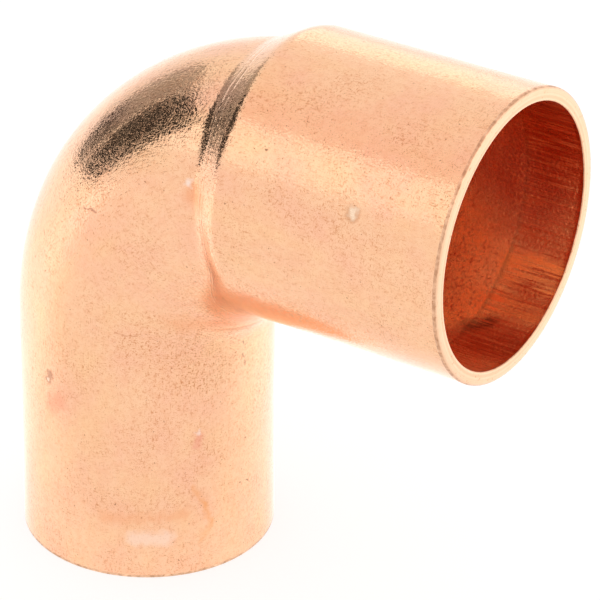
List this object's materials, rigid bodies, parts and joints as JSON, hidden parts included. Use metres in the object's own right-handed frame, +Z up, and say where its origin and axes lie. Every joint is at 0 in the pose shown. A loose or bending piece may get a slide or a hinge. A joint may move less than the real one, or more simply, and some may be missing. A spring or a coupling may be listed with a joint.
{
  "type": "copper street elbow",
  "caption": "Bent copper tube fitting that turns a pipe run through a right angle, with a plain street end and a solder cup behind a short shoulder.",
  "frame": {"origin": "centre of the plain (street) end's rim, which the elbow stands on", "axes": "+Z up the plain leg, +X out of the cup along its bore, Y across; the XZ plane is the plane of symmetry"},
  "size_m": [0.047, 0.0248, 0.0506],
  "materials": {
    "copper": "bright drawn and annealed copper, satin with fine orange-peel mottle and handling marks"
  },
  "bodies": {
    "root": {"elbow_body": "copper"}
  },
  "joints": []
}
